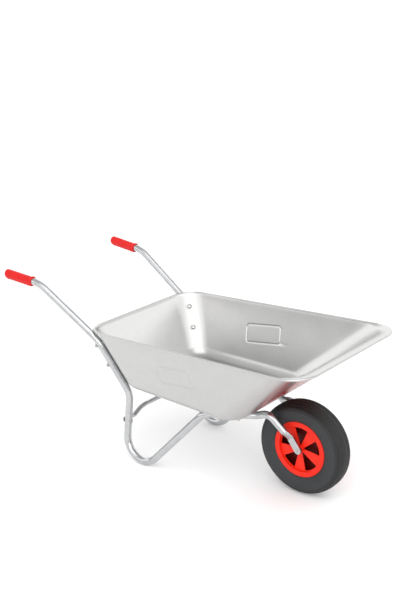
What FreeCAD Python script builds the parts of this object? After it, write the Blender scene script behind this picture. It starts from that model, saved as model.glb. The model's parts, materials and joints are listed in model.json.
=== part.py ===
"""A single-wheel garden wheelbarrow: pressed steel tray, two bent frame tubes, split rim wheel.

Lengths are in millimetres.  +X points to the wheel, +Y to the left handle, +Z up.  The model is
drawn with the axle above the origin, then every piece is moved back by the same distance, so that
the finished part has its origin on the ground, under the middle of its length.
"""
import FreeCAD, Part
import math
import os

import Sketcher
from FreeCAD import Placement, Rotation, Vector

SIZES = {
    # wheel
    "tyre_diameter": 350.0,
    "tyre_width": 92.0,
    "tyre_wall": 4.0,
    "sidewall_rise": 22.0,
    "sidewall_drop": 13.0,
    "sidewall_in": 5.0,
    "shoulder_drop": 6.5,
    "shoulder_in": 10.0,
    "crown_drop": 3.0,
    "crown_in": 18.0,
    "cavity_drop": 16.0,
    "bead_width": 12.0,
    "bead_diameter": 196.0,
    "rim_diameter": 210.0,
    "rim_half_width": 37.5,
    "rim_wall": 3.5,
    "rim_ring_inner_diameter": 172.0,
    "spoke_recess": 9.0,
    "hub_diameter": 30.0,
    "hub_half_length": 41.0,
    "window_count": 5.0,
    "window_tip_radius": 14.0,
    "window_outer_radius": 83.0,
    "window_half_width": 28.0,
    "web_thickness": 2.0,
    "screw_circle_radius": 58.0,
    "screw_diameter": 5.0,
    "boss_diameter": 13.0,
    "tube_gap": 0.5,
    "valve_diameter": 9.0,
    "valve_length": 34.0,
    "inner_tube_wall": 2.0,
    # axle
    "axle_diameter": 16.0,
    "running_clearance": 0.05,
    "bush_wall": 2.5,
    "bush_length": 24.0,
    "bush_flange": 2.0,
    "side_play": 0.4,
    "axle_washer_thickness": 1.5,
    "axle_screw_diameter": 8.0,
    # frame tubes
    "tube_diameter": 28.0,
    "tube_wall": 1.8,
    "seat_gap": 0.05,
    "taper_inset": 0.15,
    "grip_reach": 1217.0,
    "grip_height": 663.3,
    "grip_half_spacing": 302.0,
    "handle_bend_reach": 1039.0,
    "handle_bend_height": 651.5,
    "handle_bend_half_spacing": 292.0,
    "handle_slope": 31.6,
    "leg_lean": 2.5,
    "foot_reach": 671.0,
    "foot_length": 120.0,
    "foot_half_spacing": 221.5,
    "strut_top_reach": 314.0,
    "strut_top_half_spacing": 190.0,
    "fork_back_reach": 150.0,
    "fork_back_half_spacing": 82.0,
    "fork_top_reach": 112.0,
    "fork_top_rise": 17.0,
    "fork_top_half_spacing": 74.0,
    "fork_tube_end_reach": 50.0,
    "fork_tube_end_height": 238.0,
    "fork_tube_end_half_spacing": 60.0,
    "fork_flat_thickness": 5.0,
    "fork_flat_width": 28.0,
    "fork_flat_length": 50.0,
    "fork_flat_slope": 52.0,
    "handle_bend_radius": 150.0,
    "wall_bend_radius": 120.0,
    "leg_bend_radius": 90.0,
    "strut_top_bend_radius": 60.0,
    "fork_back_bend_radius": 50.0,
    "fork_top_bend_radius": 42.0,
    # tray
    "sheet": 1.2,
    "floor_height": 296.0,
    "floor_rear_reach": 680.0,
    "floor_front_reach": 157.0,
    "floor_rear_half_width": 226.0,
    "floor_front_half_width": 238.0,
    "floor_corner_radius": 72.0,
    "floor_edge_radius": 45.0,
    "brim_rear_reach": 797.0,
    "brim_front_reach": 185.0,
    "brim_rear_half_width": 299.0,
    "brim_front_half_width": 326.0,
    "brim_rear_height": 523.0,
    "brim_tilt": 3.27,
    "brim_rear_corner_radius": 85.0,
    "brim_front_corner_radius": 95.0,
    "lip_drop": 11.0,
    "lip_side": 8.0,
    "lip_front": 50.0,
    "seat_angle": 44.0,
    "bead_edge_diameter": 8.0,
    # fasteners, brace and strap
    "rear_bolt_low": 396.0,
    "rear_bolt_high": 472.0,
    "floor_bolt_back": 55.0,
    "floor_bolt_front": 125.0,
    "bolt_diameter": 8.0,
    "bolt_hole_clearance": 0.25,
    "bolt_head_diameter": 19.0,
    "bolt_head_height": 4.0,
    "nut_width": 13.0,
    "nut_height": 6.5,
    "washer_diameter": 24.0,
    "washer_thickness": 1.6,
    "brace_diameter": 18.0,
    "brace_wall": 1.5,
    "brace_end_height": 157.0,
    "brace_rise": 25.0,
    "brace_flat_thickness": 4.0,
    "brace_flat_length": 34.0,
    "brace_shoulder_half_spacing": 120.0,
    "brace_bend_radius": 90.0,
    "strap_width": 30.0,
    "strap_thickness": 4.0,
    "strap_reach": 345.0,
    "strap_half_length": 205.0,
    "strap_bolt_half_spacing": 120.0,
    "label_length": 290.0,
    "label_width": 380.0,
    "label_thickness": 0.4,
    # grips
    "grip_diameter": 33.0,
    "grip_length": 145.0,
    "grip_end_wall": 8.0,
    "grip_end_radius": 6.0,
    "grip_flange_diameter": 40.0,
    "grip_flange_width": 5.0,
    "grip_ridge_pitch": 24.0,
    "grip_ridge_radius": 15.0,
    "grip_ridge_depth": 2.2,
}

doc = FreeCAD.newDocument("Wheelbarrow")
sheet = doc.addObject("Spreadsheet::Sheet", "Sizes")
for row, (name, size) in enumerate(SIZES.items(), start=1):
    sheet.set(f"A{row}", name)
    sheet.set(f"B{row}", str(size))
    sheet.setAlias(f"B{row}", name)
doc.recompute()


def value(expression):
    """The number that an expression of the sheet's names gives."""
    result = sheet.evalExpression(linked(expression))
    return float(getattr(result, "Value", result))


def linked(expression):
    """The expression with each of the sheet's names written as a link to its cell."""
    words = []
    word = ""
    for letter in expression + " ":
        if letter.isalnum() or letter == "_":
            word += letter
            continue
        words.append(f"Sizes.{word}" if word in SIZES else word)
        words.append(letter)
        word = ""
    return "".join(words).strip()


def bind(thing, **sizes):
    """Tie properties of a document object to expressions of the sheet's names."""
    for prop, expression in sizes.items():
        thing.setExpression(prop.replace("__", "."), linked(expression))


# The whole drawing is moved so that the origin lies under the middle of the overall length.
MIDDLE = Vector((value("grip_reach") - value("brim_front_reach + bead_edge_diameter / 2")) / 2, 0, 0)
AXLE = Vector(0, 0, value("tyre_diameter / 2"))
X_AXIS = Vector(1, 0, 0)
Y_AXIS = Vector(0, 1, 0)


# ---------------------------------------------------------------- sketches and bodies
def new_body(name):
    """An empty body whose label names its node."""
    body = doc.addObject("PartDesign::Body", name)
    body.Label = name
    return body


def new_sketch(body, name, plane, height=None, tilt=None):
    """A sketch on one of the body's origin planes, lifted and tilted about its own Y if asked."""
    sketch = body.newObject("Sketcher::SketchObject", name)
    support = [f for f in body.Origin.OriginFeatures if f.Role == plane][0]
    sketch.AttachmentSupport = [(support, "")]
    sketch.MapMode = "FlatFace"
    if tilt:
        sketch.AttachmentOffset = Placement(Vector(0, 0, 0), Rotation(Y_AXIS, -value(tilt)))
        sketch.setExpression(".AttachmentOffset.Rotation.Angle", linked(f"-1 deg * ({tilt})"))
    if height:
        sketch.setExpression(".AttachmentOffset.Base.z", linked(height))
    return sketch


def fix_point(sketch, index, position, u, v):
    """Tie one end of an edge to two expressions, measured from the sketch's origin."""
    for kind, expression in (("DistanceX", u), ("DistanceY", v)):
        number = sketch.addConstraint(
            Sketcher.Constraint(kind, -1, 1, index, position, value(expression)))
        sketch.setExpression(f"Constraints[{number}]", linked(expression))


def draw_outline(sketch, start, steps):
    """A closed outline.  Each step is (end,) for a straight side or (middle, end) for an arc."""
    here = start
    edges = []
    for step in steps:
        a = Vector(value(here[0]), value(here[1]), 0)
        end = step[-1]
        b = Vector(value(end[0]), value(end[1]), 0)
        if len(step) == 1:
            edges.append((sketch.addGeometry(Part.LineSegment(a, b)), 1, 2, end, None))
        else:
            middle = Vector(value(step[0][0]), value(step[0][1]), 0)
            arc = Part.Arc(a, middle, b)
            index = sketch.addGeometry(arc)
            forward = sketch.getPoint(index, 1).distanceToPoint(a) < 1e-6
            first, last = (1, 2) if forward else (2, 1)
            edges.append((index, first, last, end, step[0]))
        here = end
    for number, (index, first, last, end, middle) in enumerate(edges):
        after = edges[(number + 1) % len(edges)]
        sketch.addConstraint(Sketcher.Constraint("Coincident", index, last, after[0], after[1]))
        fix_point(sketch, index, last, *end)
        if middle:
            point = Vector(value(middle[0]), value(middle[1]), 0)
            on_arc = sketch.addGeometry(Part.Point(point), True)
            fix_point(sketch, on_arc, 1, *middle)
            sketch.addConstraint(Sketcher.Constraint("PointOnObject", on_arc, 1, index))


def draw_circle(sketch, u, v, diameter):
    """A circle tied to its centre and diameter."""
    centre = Vector(value(u), value(v), 0)
    circle = Part.Circle(centre, Vector(0, 0, 1), value(diameter) / 2)
    index = sketch.addGeometry(circle)
    fix_point(sketch, index, 3, u, v)
    number = sketch.addConstraint(Sketcher.Constraint("Diameter", index, value(diameter)))
    sketch.setExpression(f"Constraints[{number}]", linked(diameter))


def revolve(body, sketch):
    """Turn a sketch once round its own vertical axis."""
    feature = body.newObject("PartDesign::Revolution", f"{sketch.Name}_turned")
    feature.Profile = sketch
    feature.ReferenceAxis = (sketch, ["V_Axis"])
    feature.Angle = 360
    return feature


def polar(body, feature, sketch, count):
    """Repeat a feature evenly round the Y axis of its body."""
    pattern = body.newObject("PartDesign::PolarPattern", f"{feature.Name}_ring")
    pattern.Originals = [feature]
    pattern.Axis = (sketch, ["N_Axis"])
    pattern.Angle = 360
    pattern.Occurrences = int(value(count))
    body.Tip = pattern
    return pattern



def pocket(body, sketch, length=None, reverse=False):
    """Cut a sketch out of its body: right through both ways, or one way by a length."""
    feature = body.newObject("PartDesign::Pocket", f"{sketch.Name}_cut")
    feature.Profile = sketch
    if length:
        feature.Reversed = reverse
        feature.Length = value(length)
        bind(feature, Length=length)
    else:
        feature.Midplane = True
        feature.Type = "ThroughAll"
    return feature


def pad(body, sketch, length, reverse=False):
    """Raise a sketch into a solid."""
    feature = body.newObject("PartDesign::Pad", f"{sketch.Name}_raised")
    feature.Profile = sketch
    feature.Reversed = reverse
    feature.Length = value(length)
    bind(feature, Length=length)
    return feature


# ---------------------------------------------------------------- plain solids
def cylinder(name, diameter, length, base, direction, back="0"):
    """A rod along a direction, starting a distance behind its base point."""
    rod = doc.addObject("Part::Cylinder", name)
    bind(rod, Radius=f"({diameter}) / 2", Height=length)
    along = Vector(direction).normalize()
    rod.Placement = Placement(base - along * value(back), Rotation(Vector(0, 0, 1), along))
    return rod


def fuse(name, pieces):
    """One solid from several."""
    result = doc.addObject("Part::MultiFuse", name)
    result.Shapes = pieces
    return result


def cut(name, base, tool):
    """A solid with another taken out of it."""
    result = doc.addObject("Part::Cut", name)
    result.Base = base
    result.Tool = tool
    result.Label = name
    return result


def sweep(name, path, diameter):
    """A round bar that follows a path."""
    section = doc.addObject("Part::Circle", f"{name}_section")
    bind(section, Radius=f"({diameter}) / 2")
    start = path.Shape.Edges[0]
    heading = start.tangentAt(start.FirstParameter)
    section.Placement = Placement(start.Vertexes[0].Point, Rotation(Vector(0, 0, 1), heading))
    result = doc.addObject("Part::Sweep", name)
    result.Sections = [section]
    result.Spine = (path, [f"Edge{n + 1}" for n in range(len(path.Shape.Edges))])
    result.Solid = True
    return result


def path_feature(name, points, radii):
    """Straight runs between the points, joined by tangent arcs of the given radii."""
    edges = []
    here = points[0]
    for before, corner, after, radius in zip(points, points[1:], points[2:], radii):
        come = (corner - before).normalize()
        leave = (after - corner).normalize()
        turn = come.getAngle(leave)
        reach = radius * math.tan(turn / 2)
        first = corner - come * reach
        last = corner + leave * reach
        inward = (leave - come).normalize()
        middle = corner + inward * (radius / math.cos(turn / 2) - radius)
        edges.append(Part.LineSegment(here, first).toShape())
        edges.append(Part.Arc(first, middle, last).toShape())
        here = last
    edges.append(Part.LineSegment(here, points[-1]).toShape())
    path = doc.addObject("Part::Feature", name)
    path.Shape = Part.Wire(edges)
    return path


def group(name, master, placements):
    """Copies of one piece, kept as separate solids of one node."""
    node = doc.addObject("Part::Feature", name)
    node.Label = name
    node.Shape = Part.makeCompound([placed_copy(master, p) for p in placements])
    return node


def placed_copy(master, placement):
    """The shape of a piece, moved from the middle of the drawing to where it is used."""
    shape = master.Shape.copy()
    shape.Placement = placement
    return shape


def across(point):
    """The same point on the other side of the wheelbarrow."""
    return Vector(point.x, -point.y, point.z)


# ---------------------------------------------------------------- the lines that pieces share
def tray_line(side_reach, top_reach, top_height):
    """A straight wall's outer line in the XZ plane: its foot on the floor and its way up."""
    foot = Vector(-value(side_reach), 0, value("floor_height"))
    top = Vector(-value(top_reach), 0, value(top_height))
    return foot, (top - foot).normalize()


def outline_sizes(inset, raised):
    """The sizes of the three outlines that the tray's walls pass through: floor, lip and brim."""
    level = "brim_rear_height + brim_rear_reach * tan(brim_tilt * 1 deg)"
    along = "cos(brim_tilt * 1 deg)"
    floor = dict(
        reaches=[f"floor_rear_reach - {inset}", f"-floor_front_reach - {inset}"],
        halves=[f"floor_rear_half_width - {inset}", f"floor_front_half_width - {inset}"],
        radii=[f"floor_corner_radius - {inset}"] * 2, height=f"floor_height + {raised}", tilt="0")
    lip = dict(
        reaches=[f"(brim_rear_reach - lip_side - {inset}) / {along}",
                 f"(brim_front_reach - lip_front - {inset}) / {along}"],
        halves=[f"brim_rear_half_width - lip_side - {inset}",
                f"brim_front_half_width - lip_side - {inset}"],
        radii=[f"brim_rear_corner_radius - {inset}", f"brim_front_corner_radius - {inset}"],
        height=f"{level} - lip_drop + {raised}", tilt="brim_tilt")
    brim = dict(
        reaches=[f"(brim_rear_reach - {inset}) / {along}", f"(brim_front_reach - {inset}) / {along}"],
        halves=[f"brim_rear_half_width - {inset}", f"brim_front_half_width - {inset}"],
        radii=lip["radii"], height=f"{level} + {raised}", tilt="brim_tilt")
    return floor, lip, brim


def corner_seat(reaches, halves, radii, height, tilt):
    """A point of an outline's rear right corner at the seat's angle, and the way round it there."""
    rear, front = value(reaches[0]), value(reaches[1])
    half = value(halves[0])
    round_off = value(radii[0])
    splay = math.atan2(value(halves[1]) - half, rear + front)
    turn = math.radians(value("seat_angle")) * (1 - 2 * splay / math.pi)
    centre = Vector(round_off - rear, round_off * (1 / math.cos(splay) - math.tan(splay)) - half, 0)
    spoke = Vector(-math.cos(turn), -math.sin(turn), 0)
    plane = Placement(Vector(0, 0, value(height)), Rotation(Y_AXIS, -value(tilt)))
    return plane.multVec(centre + spoke * round_off), spoke.cross(Vector(0, 0, 1))


def meet(point_a, way_a, point_b, way_b):
    """Where line a passes line b as both are seen from the side."""
    determinant = way_a.x * -way_b.z + way_b.x * way_a.z
    gap = point_b - point_a
    along = (gap.x * -way_b.z + way_b.x * gap.z) / determinant
    return point_a + way_a * along


def beside(point, half_spacing):
    """A point of the right-hand frame tube from its place in the XZ plane."""
    return Vector(point.x, -value(half_spacing), point.z)


TUBE_RADIUS = value("tube_diameter / 2")
SEAT = value("tube_diameter / 2 + seat_gap")

# The tray's rear corner where the tube lies along it, from floor to lip, and the way out of it.
FLOOR_OUTLINE, LIP_OUTLINE, _ = outline_sizes("0", "0")
WALL_FOOT, CORNER_WAY = corner_seat(**FLOOR_OUTLINE)
WALL_WAY = (corner_seat(**LIP_OUTLINE)[0] - WALL_FOOT).normalize()
WALL_OUT = WALL_WAY.cross(CORNER_WAY).normalize()

HANDLE_BEND = Vector(-value("handle_bend_reach"), 0, value("handle_bend_height"))
HANDLE_SLOPE = math.radians(value("handle_slope"))
HANDLE_WAY = Vector(math.cos(HANDLE_SLOPE), 0, -math.sin(HANDLE_SLOPE))
LEG_LEAN = math.radians(value("leg_lean"))
LEG_WAY = Vector(math.sin(LEG_LEAN), 0, math.cos(LEG_LEAN))
FOOT_BACK = Vector(-value("foot_reach"), 0, TUBE_RADIUS)
WALL_RUN = WALL_FOOT + WALL_OUT * SEAT

GRIP_END = Vector(-value("grip_reach"), -value("grip_half_spacing"), value("grip_height"))
HANDLE_CORNER = beside(HANDLE_BEND, "handle_bend_half_spacing")
WALL_CORNER = meet(WALL_RUN, WALL_WAY, HANDLE_BEND, HANDLE_WAY)
LEG_CORNER = meet(WALL_RUN, WALL_WAY, FOOT_BACK, LEG_WAY)
FOOT_CORNER = beside(FOOT_BACK, "foot_half_spacing")
FOOT_FRONT = FOOT_CORNER + Vector(value("foot_length"), 0, 0)
UNDER_FLOOR = value("floor_height") - SEAT
STRUT_TOP = Vector(-value("strut_top_reach"), -value("strut_top_half_spacing"), UNDER_FLOOR)
FORK_BACK = Vector(-value("fork_back_reach"), -value("fork_back_half_spacing"), UNDER_FLOOR)
FORK_TOP = Vector(-value("fork_top_reach"), -value("fork_top_half_spacing"),
                  UNDER_FLOOR + value("fork_top_rise"))
FORK_TUBE_END = Vector(-value("fork_tube_end_reach"), -value("fork_tube_end_half_spacing"),
                       value("fork_tube_end_height"))
GRIP_WAY = (HANDLE_CORNER - GRIP_END).normalize()
TUBE_START = GRIP_END + GRIP_WAY * value("grip_end_wall")

# Both fork ends are flattened, and stand just outside the wheel's hub and its washers.
FLAT_INNER = value("hub_half_length + bush_flange + side_play + axle_washer_thickness")
FLAT_OUTER = FLAT_INNER + value("fork_flat_thickness")
FLAT_SLOPE = math.radians(value("fork_flat_slope"))
FLAT_WAY = Vector(-math.cos(FLAT_SLOPE), 0, math.sin(FLAT_SLOPE))
FLAT_CENTRE = AXLE + Vector(0, -(FLAT_INNER + FLAT_OUTER) / 2, 0)
FLAT_START = FLAT_CENTRE + FLAT_WAY * value("fork_flat_length")
HOLE = "bolt_diameter + 2 * bolt_hole_clearance"


def wall_bolt_seat(height):
    """The point of the tray's outer face where a bolt passes, beside the tube's centre line."""
    return meet(WALL_FOOT, WALL_WAY, Vector(0, 0, value(height)), X_AXIS)


def floor_bolt_seat(distance):
    """The point of the floor's underside above the tube, a distance along from the strut's top."""
    way = (FORK_BACK - STRUT_TOP).normalize()
    seat = STRUT_TOP + way * value(distance)
    return Vector(seat.x, seat.y, value("floor_height"))


def leg_point(height):
    """The centre of the right-hand leg at a height."""
    share = (value(height) - FOOT_CORNER.z) / (LEG_CORNER.z - FOOT_CORNER.z)
    return FOOT_CORNER + (LEG_CORNER - FOOT_CORNER) * share


WALL_SEATS = [wall_bolt_seat("rear_bolt_low"), wall_bolt_seat("rear_bolt_high")]
FLOOR_SEATS = [floor_bolt_seat("floor_bolt_back"), floor_bolt_seat("floor_bolt_front")]
STRAP_SEAT = Vector(-value("strap_reach"), -value("strap_bolt_half_spacing"), value("floor_height"))
LEG_HOLE = leg_point("brace_end_height")
BRACE_BACK = Vector(-LEG_WAY.z, 0, LEG_WAY.x)
UP = Vector(0, 0, 1)


# ---------------------------------------------------------------- frame tubes
def foot_radius():
    """The foot is one round bend: the radius at which its two arcs fill the foot's length."""
    strut = (STRUT_TOP - FOOT_FRONT).normalize()
    leg = (FOOT_CORNER - LEG_CORNER).normalize()
    level = Vector(1, 0, 0)
    tangents = math.tan(leg.getAngle(level) / 2) + math.tan(strut.getAngle(level) / 2)
    slack = 0.98
    return value("foot_length") * slack / tangents


def make_frame_tubes():
    """One tube bent from the handle to the fork, and its mirror image."""
    corners = [TUBE_START, HANDLE_CORNER, WALL_CORNER, LEG_CORNER, FOOT_CORNER, FOOT_FRONT,
               STRUT_TOP, FORK_BACK, FORK_TOP, FORK_TUBE_END]
    foot = foot_radius()
    radii = [value("handle_bend_radius"), value("wall_bend_radius"), value("leg_bend_radius"),
             foot, foot, value("strut_top_bend_radius"), value("fork_back_bend_radius"),
             value("fork_top_bend_radius")]
    path = path_feature("frame_path", corners, radii)
    outside = sweep("frame_tube_outside", path, "tube_diameter")
    inside = sweep("frame_tube_bore", path, "tube_diameter - 2 * tube_wall")
    pipe = cut("frame_pipe", outside, inside)

    heading = (FORK_TUBE_END - FORK_TOP).normalize()
    round_end = doc.addObject("Part::Ellipse", "fork_round_end")
    bind(round_end, MajorRadius="tube_diameter / 2 - taper_inset",
         MinorRadius="tube_diameter / 2 - 2 * taper_inset")
    inside_pipe = FORK_TUBE_END - heading * value("tube_wall")
    round_end.Placement = Placement(inside_pipe, turned_section(heading))
    flat_end = doc.addObject("Part::Ellipse", "fork_flat_start")
    bind(flat_end, MajorRadius="fork_flat_width / 2", MinorRadius="fork_flat_thickness / 2")
    flat_end.Placement = Placement(FLAT_START, turned_section(FLAT_WAY * -1))
    taper = doc.addObject("Part::Loft", "fork_taper")
    taper.Sections = [round_end, flat_end]
    taper.Solid = True

    flat = doc.addObject("Part::Box", "fork_flat")
    bind(flat, Length="fork_flat_width", Width="fork_flat_thickness", Height="fork_flat_length")
    side = Vector(-FLAT_WAY.z, 0, FLAT_WAY.x) * -1
    corner = FLAT_CENTRE - side * value("fork_flat_width / 2")
    corner.y -= value("fork_flat_thickness / 2")
    flat.Placement = Placement(corner, Rotation(side, Vector(0, 1, 0), FLAT_WAY, "XZY"))
    tip = cylinder("fork_tip", "fork_flat_width", "fork_flat_thickness", FLAT_CENTRE, Y_AXIS,
                   "fork_flat_thickness / 2")
    body = fuse("frame_tube_undrilled", [pipe, taper, flat, tip])

    through = "2 * tube_diameter"
    drills = [cylinder(f"wall_drill_{n}", HOLE, through, seat, WALL_OUT)
              for n, seat in enumerate(WALL_SEATS)]
    drills += [cylinder(f"floor_drill_{n}", HOLE, through, seat, UP * -1)
               for n, seat in enumerate(FLOOR_SEATS)]
    drills.append(cylinder("brace_drill", HOLE, through, LEG_HOLE, BRACE_BACK, "tube_diameter"))
    drills.append(cylinder("axle_drill", "axle_screw_diameter + 2 * bolt_hole_clearance", through,
                           FLAT_CENTRE, Y_AXIS, "tube_diameter"))
    sink = doc.addObject("Part::Cone", "axle_countersink")
    bind(sink, Radius1="axle_screw_diameter + bolt_hole_clearance",
         Radius2="axle_screw_diameter / 2 + bolt_hole_clearance", Height="axle_screw_diameter / 2")
    outer = Vector(AXLE.x, -FLAT_OUTER, AXLE.z)
    sink.Placement = Placement(outer, Rotation(UP, Y_AXIS))
    right = cut("right_frame_tube", body, fuse("frame_drills", drills + [sink]))
    left = doc.addObject("Part::Mirroring", "left_frame_tube")
    left.Source = right
    left.Normal = Y_AXIS
    left.Label = "left_frame_tube"
    return [right, left]


def turned_section(heading):
    """The turn of a section whose long side lies fore and aft and that faces along a heading."""
    heading = Vector(heading).normalize()
    width = heading.cross(Y_AXIS).normalize()
    return Rotation(width, heading.cross(width), heading, "ZXY")


# ---------------------------------------------------------------- tray
def tray_section(name, reaches, halves, radii, height, tilt):
    """A closed outline of the tray: a long trapezium with round corners."""
    sketch = doc.addObject("Sketcher::SketchObject", name)
    sketch.Placement = Placement(Vector(0, 0, value(height)), Rotation(Y_AXIS, -value(tilt)))
    sketch.setExpression(".Placement.Base.z", linked(height))
    sketch.setExpression(".Placement.Rotation.Angle", linked(f"-1 deg * ({tilt})"))
    rear, front = f"-({reaches[0]})", reaches[1]
    corners = [(rear, f"-({halves[0]})"), (front, f"-({halves[1]})"),
               (front, halves[1]), (rear, halves[0])]
    points = [Vector(value(u), value(v), 0) for u, v in corners]
    rounds = [value(radii[0]), value(radii[1]), value(radii[1]), value(radii[0])]
    tangents = []
    for n, corner in enumerate(points):
        come = (corner - points[n - 1]).normalize()
        leave = (points[(n + 1) % 4] - corner).normalize()
        turn = come.getAngle(leave)
        reach = rounds[n] * math.tan(turn / 2)
        inward = (leave - come).normalize() * (rounds[n] / math.cos(turn / 2) - rounds[n])
        tangents.append((corner - come * reach, corner + inward, corner + leave * reach))
    for n in range(4):
        after = (n + 1) % 4
        sketch.addGeometry(Part.LineSegment(tangents[n][2], tangents[after][0]))
        sketch.addGeometry(Part.Arc(*tangents[after]))
    for n in range(4):
        side, bend, following = 2 * n, 2 * n + 1, (2 * n + 2) % 8
        enter = 1 if sketch.getPoint(bend, 1).distanceToPoint(tangents[(n + 1) % 4][0]) < 1e-6 else 2
        sketch.addConstraint(Sketcher.Constraint("Tangent", side, 2, bend, enter))
        sketch.addConstraint(Sketcher.Constraint("Tangent", bend, 3 - enter, following, 1))
        radius = radii[1] if n in (0, 1) else radii[0]
        number = sketch.addConstraint(Sketcher.Constraint("Radius", bend, value(radius)))
        sketch.setExpression(f"Constraints[{number}]", linked(radius))
    for n, (u, v) in enumerate(corners):
        mark = sketch.addGeometry(Part.Point(points[n]), True)
        fix_point(sketch, mark, 1, u, v)
        for side in (2 * n, 2 * ((n - 1) % 4)):
            sketch.addConstraint(Sketcher.Constraint("PointOnObject", mark, 1, side))
    return sketch


def tray_outlines(name, inset, raised):
    """The three outlines that the tray's walls pass through: floor, foot of the lip, brim."""
    return [tray_section(f"{name}_{level}", **sizes)
            for level, sizes in zip(("floor", "lip", "brim"), outline_sizes(inset, raised))]


def tray_loft(bottom, top):
    """Straight walls between two outlines."""
    loft = doc.addObject("Part::Loft", f"{bottom.Name}_walls")
    loft.Sections = [bottom, top]
    loft.Ruled = True
    loft.Solid = True
    return loft


def round_floor(block, height, radius):
    """The same block with the edge between its floor and its walls made round."""
    doc.recompute()
    floor = [n for n, edge in enumerate(block.Shape.Edges, start=1)
             if abs(edge.BoundBox.ZMin - height) < 0.01 and abs(edge.BoundBox.ZMax - height) < 0.01]
    fillet = doc.addObject("Part::Fillet", f"{block.Name}_round")
    fillet.Base = block
    fillet.Edges = [(n, radius, radius) for n in floor]
    return fillet


def tray_form(name, inset, raised, radius):
    """A solid block of the tray's shape, with a round edge between floor and walls."""
    floor, lip, brim = tray_outlines(name, inset, raised)
    lower = round_floor(tray_loft(floor, lip), value(f"floor_height + {raised}"), value(radius))
    return fuse(f"{name}_form", [lower, tray_loft(lip, brim)])


def make_tray():
    """The pressed tray: round-cornered walls, a turned-out lip and a rolled edge."""
    outer = tray_form("outer", "0", "0", "floor_edge_radius")
    inner = tray_form("inner", "sheet", "sheet", "floor_edge_radius - sheet")
    walls = cut("tray_walls", outer, inner)
    doc.recompute()
    rolled = sweep("rolled_edge", doc.getObject("outer_brim"), "bead_edge_diameter")
    pressing = fuse("tray_undrilled", [walls, rolled])
    through = "2 * tube_diameter"
    drills = []
    for side, point in (("right", lambda p: p), ("left", across)):
        drills += [cylinder(f"{side}_tray_wall_drill_{n}", HOLE, through, point(seat),
                            point(WALL_OUT), "tube_diameter")
                   for n, seat in enumerate(WALL_SEATS)]
        drills += [cylinder(f"{side}_tray_floor_drill_{n}", HOLE, through, point(seat), UP * -1,
                            "tube_diameter") for n, seat in enumerate(FLOOR_SEATS + [STRAP_SEAT])]
    return cut("tray", pressing, fuse("tray_drills", drills))


# ---------------------------------------------------------------- wheel
def make_tyre():
    """A tyre with a round tread, open at the rim."""
    body = new_body("tyre")
    sketch = new_sketch(body, "tyre_profile", "XY_Plane")
    seat, flange, inner_face = "bead_diameter / 2", "rim_diameter / 2", "(rim_half_width - rim_wall)"
    tread, half = "tyre_diameter / 2", "tyre_width / 2"
    side = [
        ((seat, inner_face),),
        ((flange, inner_face),),
        ((f"{flange} + sidewall_rise", half), (f"{tread} - sidewall_drop", f"{half} - sidewall_in")),
        ((f"{tread} - shoulder_drop", f"{half} - shoulder_in"), (f"{tread} - crown_drop", f"{half} - crown_in")),
    ]
    other = [
        ((tread, "0"), (f"{tread} - crown_drop", f"crown_in - {half}")),
        ((f"{tread} - shoulder_drop", f"shoulder_in - {half}"), (f"{tread} - sidewall_drop", f"sidewall_in - {half}")),
        ((f"{flange} + sidewall_rise", f"-{half}"), (flange, f"-{inner_face}")),
        ((seat, f"-{inner_face}"),),
        ((seat, f"bead_width - {inner_face}"),),
    ]
    cavity = [
        ((f"{flange} + sidewall_rise", f"tyre_wall - {half}"), (f"{tread} - cavity_drop", f"bead_width - {half}")),
        ((f"{tread} - 2 * tyre_wall", "0"), (f"{tread} - cavity_drop", f"{half} - bead_width")),
        ((f"{flange} + sidewall_rise", f"{half} - tyre_wall"), (seat, f"{inner_face} - bead_width")),
    ]
    draw_outline(sketch, (seat, f"{inner_face} - bead_width"), side + other + cavity)
    revolve(body, sketch)
    return body


def make_inner_tube():
    """The sealed tube that holds the air."""
    body = new_body("inner_tube")
    sketch = new_sketch(body, "inner_tube_profile", "XY_Plane")
    radius = "(tyre_diameter / 2 - 2 * tyre_wall - bead_diameter / 2) / 2 - tube_gap"
    centre = f"bead_diameter / 2 + tube_gap + {radius}"
    draw_circle(sketch, centre, "0", f"2 * ({radius})")
    draw_circle(sketch, centre, "0", f"2 * ({radius} - inner_tube_wall)")
    revolve(body, sketch)
    return body


def on_circle(radius, angle):
    """Expressions for a point on a circle, the angle measured from straight up."""
    return f"({radius}) * sin({angle})", f"({radius}) * cos({angle})"


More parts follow.
